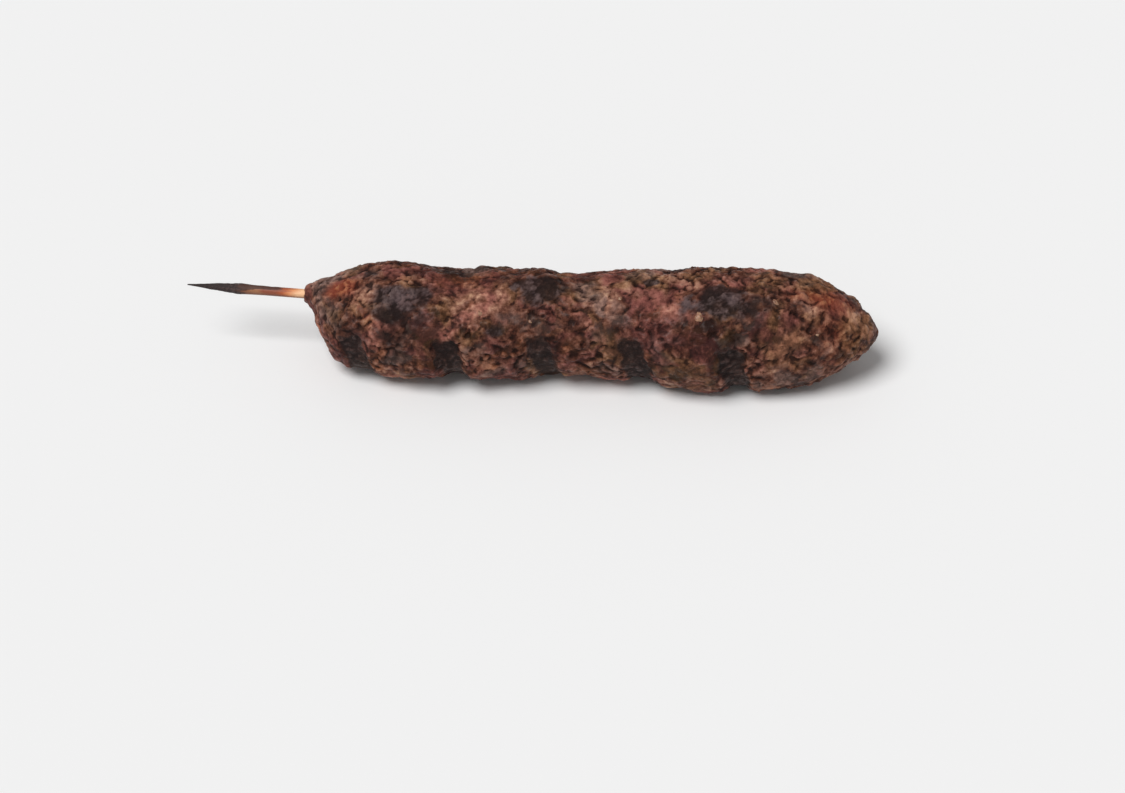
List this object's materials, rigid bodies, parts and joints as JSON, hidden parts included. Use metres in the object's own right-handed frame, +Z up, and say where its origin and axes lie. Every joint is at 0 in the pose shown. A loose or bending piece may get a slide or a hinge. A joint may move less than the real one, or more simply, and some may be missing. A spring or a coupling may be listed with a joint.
{
  "type": "beef kebab skewer",
  "caption": "Long hand-pressed roll of grilled minced beef on a pointed bamboo skewer, browned, crusted and marked by grill bars.",
  "frame": {"origin": "on the surface that the kebab lies on, below the middle of its outer box", "axes": "+X along the kebab from the skewer's point to the covered end, +Y to the back, +Z up"},
  "size_m": [0.1806, 0.0332, 0.029],
  "materials": {
    "grilled_mince": null,
    "bamboo": "pale split bamboo, toasted brown and charred black towards its point"
  },
  "bodies": {
    "root": {"meat": "grilled_mince", "skewer": "bamboo"}
  },
  "joints": []
}
